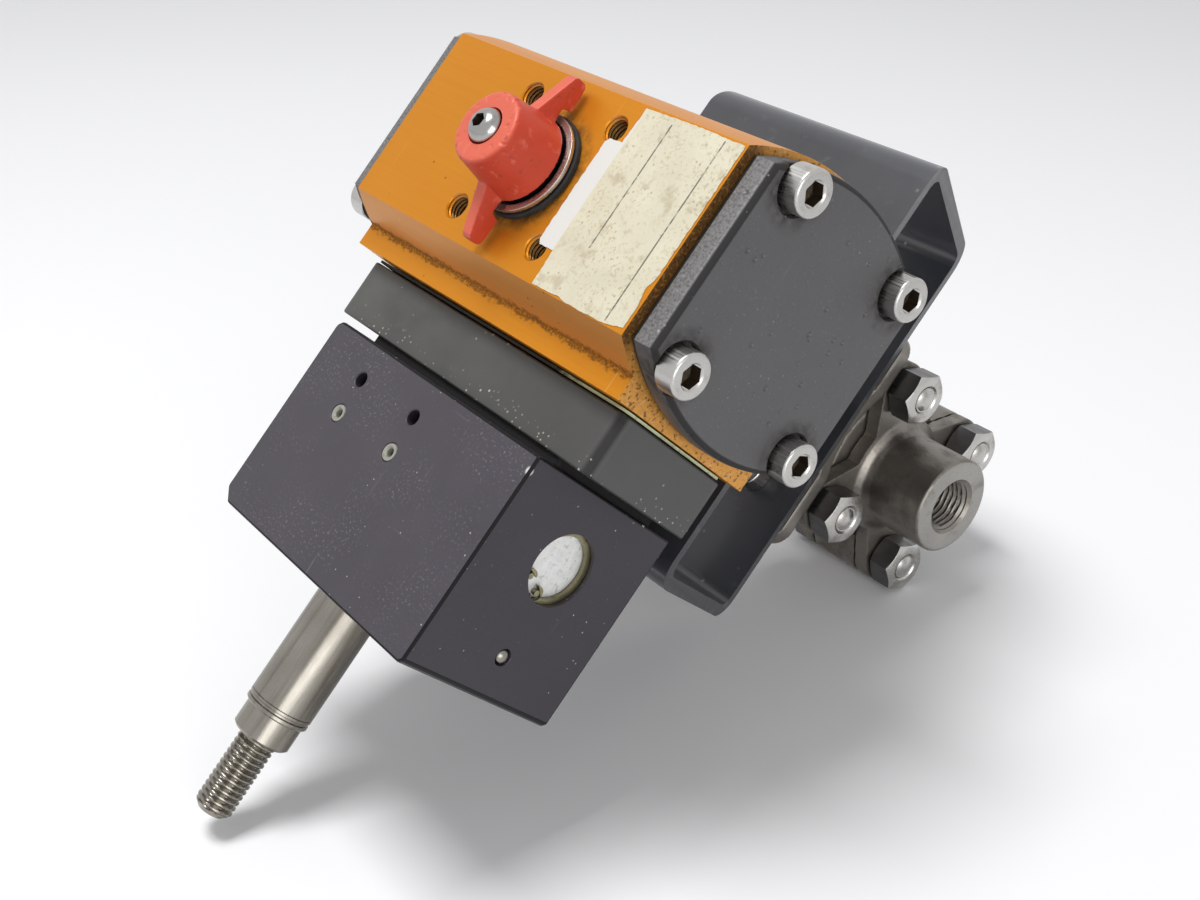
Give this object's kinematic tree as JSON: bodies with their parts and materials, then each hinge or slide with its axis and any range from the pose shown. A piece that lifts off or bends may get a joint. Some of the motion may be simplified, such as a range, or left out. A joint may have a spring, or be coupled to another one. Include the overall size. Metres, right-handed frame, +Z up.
{
  "type": "pneumatic actuated ball valve",
  "caption": "Compressed-air rack-and-pinion actuator with pilot valve and position knob, on a bracket over a threaded three-piece ball valve.",
  "frame": {"origin": "centre of the ball, where the pipe axis crosses the stem axis", "axes": "+X along the pipe axis, +Z up the stem axis to the actuator, -Y towards the pilot valve"},
  "size_m": [0.1039, 0.1855, 0.1726],
  "materials": {
    "anodised_orange": "satin anodised, scuffed",
    "cast_dark": "dark cast, satin",
    "block_dark": "dark anodised, scratched",
    "black_paint": "semi-gloss black paint",
    "stainless": "turned",
    "cast_stainless": "cast, satin",
    "zinc": "zinc plated",
    "black_steel": "blackened",
    "knob_red": "moulded, scuffed",
    "black_rubber": "matt",
    "green_gasket": "matt fibre",
    "white_plastic": "smooth",
    "khaki_zinc": "yellowish plated",
    "plain_aluminium": "machined"
  },
  "bodies": {
    "housing": {"actuator_body": "anodised_orange", "adapter_plate": "cast_dark", "adapter_screw_1": "black_steel", "adapter_screw_2": "black_steel", "armature_spring": "stainless", "armature_tube": "stainless", "ball_plug": "stainless", "ball_seat_front": "white_plastic", "ball_seat_rear": "white_plastic", "block_screw_1": "zinc", "block_screw_2": "zinc", "body_bolt_1": "zinc", "body_bolt_2": "zinc", "body_bolt_3": "zinc", "body_bolt_4": "zinc", "body_nut_1": "zinc", "body_nut_2": "zinc", "body_nut_3": "zinc", "body_nut_4": "zinc", "bore_circlip": "khaki_zinc", "bracket": "black_paint", "cap_screw_front_1": "zinc", "cap_screw_front_2": "zinc", "cap_screw_front_3": "zinc", "cap_screw_front_4": "zinc", "cap_screw_rear_1": "zinc", "cap_screw_rear_2": "zinc", "cap_screw_rear_3": "zinc", "cap_screw_rear_4": "zinc", "end_cap_front": "cast_dark", "end_cap_rear": "cast_dark", "end_connector_front": "cast_stainless", "end_connector_rear": "cast_stainless", "end_seal_front": "black_rubber", "end_seal_rear": "black_rubber", "gland_nut": "stainless", "interface_gasket": "black_rubber", "pinion_bearing_bottom": "black_rubber", "pinion_bearing_top": "black_rubber", "port_gasket": "green_gasket", "solenoid_block": "block_dark", "spool_plug": "plain_aluminium", "stem_packing": "white_plastic", "thrust_washer": "black_rubber", "valve_body": "cast_stainless", "vent_insert_1": "white_plastic", "vent_insert_2": "white_plastic"},
    "rotor": {"pinion": "black_steel", "snap_ring": "zinc", "indicator_knob": "knob_red", "knob_screw": "zinc", "stem_coupling": "black_steel", "valve_stem": "stainless", "ball": "stainless"},
    "piston_left": {"piston_left": "plain_aluminium", "piston_seal_left": "black_rubber"},
    "piston_right": {"piston_right": "plain_aluminium", "piston_seal_right": "black_rubber"},
    "spool": {"spool": "plain_aluminium"},
    "armature": {"armature": "stainless"}
  },
  "joints": [
    {"name": "valve_turn", "type": "hinge", "parent": "housing", "child": "rotor", "pos_m": [0, 0, 0.1057], "axis": [0, 0, 1], "range_deg": [0, 90]},
    {"name": "piston_left_slide", "type": "slide", "parent": "housing", "child": "piston_left", "axis": [-1, 0, 0], "range_m": [0, 0.0138]},
    {"name": "piston_right_slide", "type": "slide", "parent": "housing", "child": "piston_right", "axis": [1, 0, 0], "range_m": [0, 0.0138]},
    {"name": "spool_slide", "type": "slide", "parent": "housing", "child": "spool", "axis": [1, 0, 0], "range_m": [0, 0.003]},
    {"name": "armature_slide", "type": "slide", "parent": "housing", "child": "armature", "axis": [0, -1, 0], "range_m": [0, 0.0015], "deforming": ["armature_spring"]}
  ],
  "couplings": [
    {"joint": "piston_left_slide", "follows": "valve_turn", "m_per_rad": 0.00875},
    {"joint": "piston_right_slide", "follows": "valve_turn", "m_per_rad": 0.00875}
  ]
}
